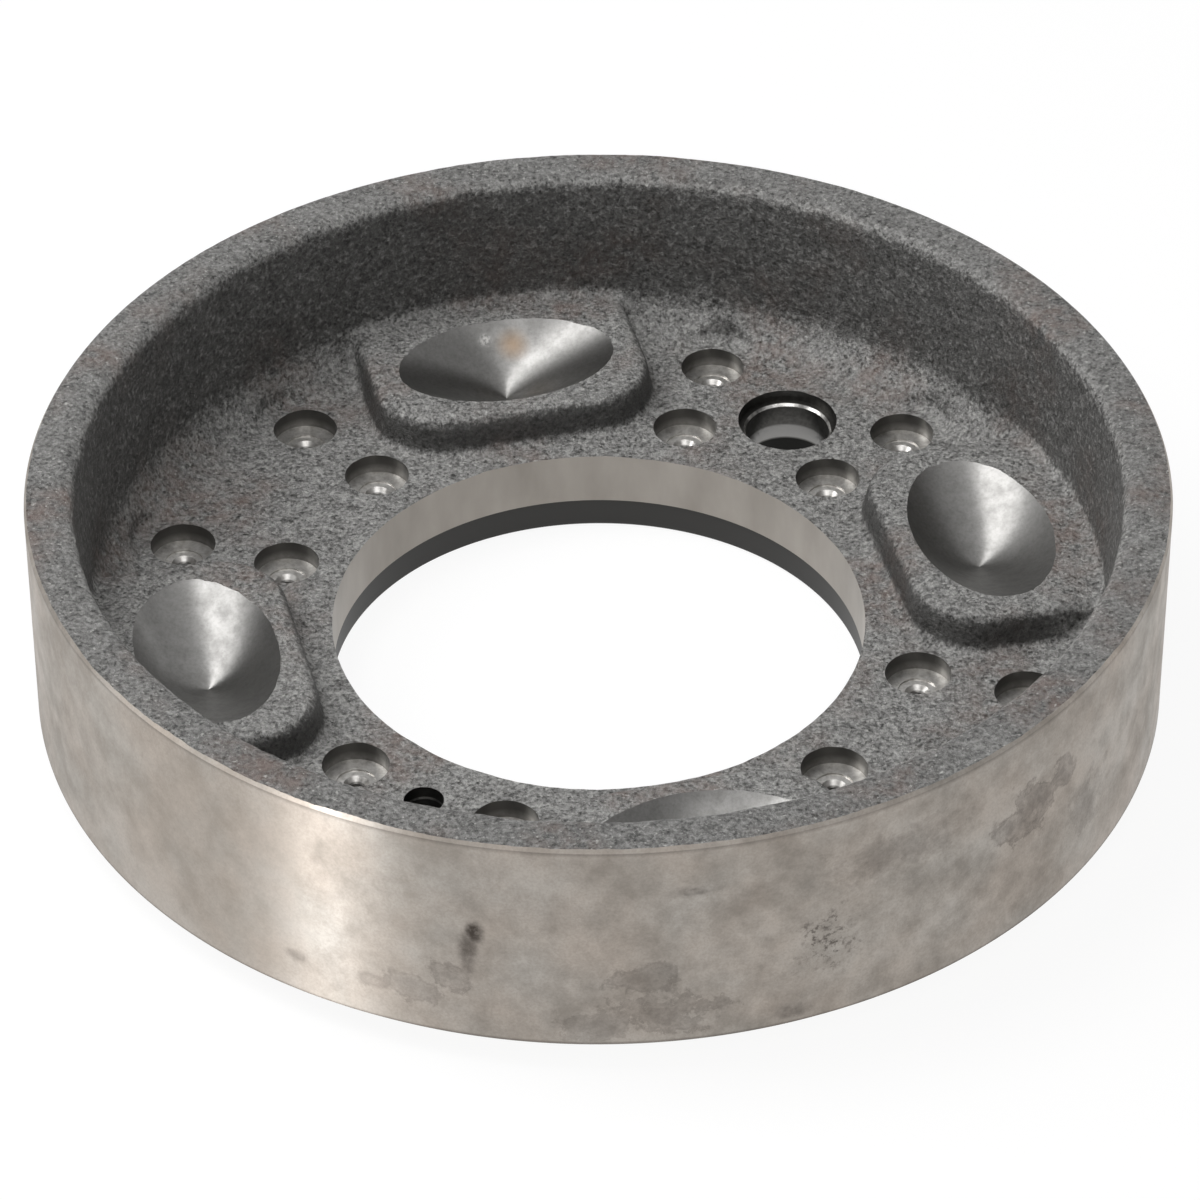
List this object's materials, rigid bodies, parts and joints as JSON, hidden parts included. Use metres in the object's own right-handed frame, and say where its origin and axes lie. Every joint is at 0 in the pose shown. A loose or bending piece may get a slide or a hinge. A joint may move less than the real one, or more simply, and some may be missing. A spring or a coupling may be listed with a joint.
{
  "type": "brake drum",
  "caption": "Shallow cast-iron brake drum with a turned outside, a large bored web, ball-ramp pockets on rounded bosses and paired blind seats round the web.",
  "frame": {"origin": "on the bore axis, in the plane of the turned seat on the underside", "axes": "+Z along the bore axis, out of the open mouth of the cup; +X and +Y lie in the seat plane, with the large stepped hole at 59 degrees from +X"},
  "size_m": [0.3, 0.3, 0.072],
  "materials": {
    "grey_iron": "as-cast inside, satin turned outside, bore and pockets"
  },
  "bodies": {
    "root": {"brake_drum": "grey_iron"}
  },
  "joints": []
}
